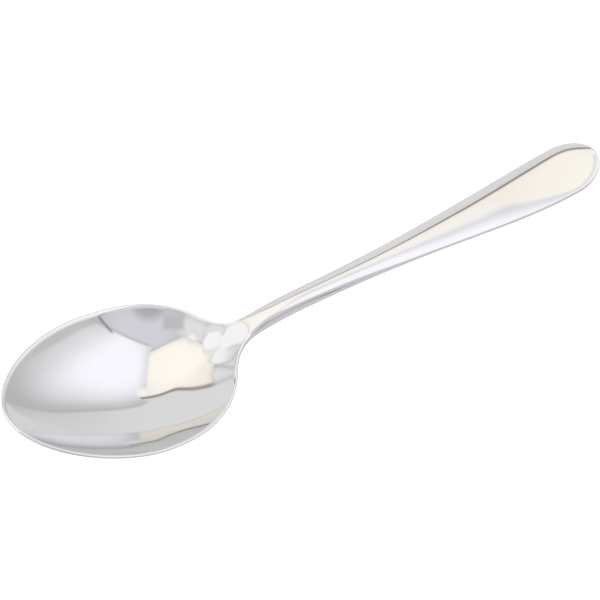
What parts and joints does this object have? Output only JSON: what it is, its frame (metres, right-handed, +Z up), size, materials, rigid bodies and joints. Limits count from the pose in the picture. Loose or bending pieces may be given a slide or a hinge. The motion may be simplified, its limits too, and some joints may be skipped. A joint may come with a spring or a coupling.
{
  "type": "serving spoon",
  "caption": "Polished stainless steel serving spoon with a deep oval bowl, a slim neck and a crowned handle that widens to a round teardrop end.",
  "frame": {"origin": "on the table under the middle of the spoon's length and width, as it lies at rest on its belly and handle end", "axes": "+X along the length from the bowl's tip to the handle's end, +Y across the bowl, +Z up from the table"},
  "size_m": [0.21, 0.0538, 0.0287],
  "materials": {
    "bowl_steel": "mirror polished stainless steel",
    "handle_steel": "mirror polished stainless steel"
  },
  "bodies": {
    "root": {"bowl": "bowl_steel", "handle": "handle_steel"}
  },
  "joints": []
}
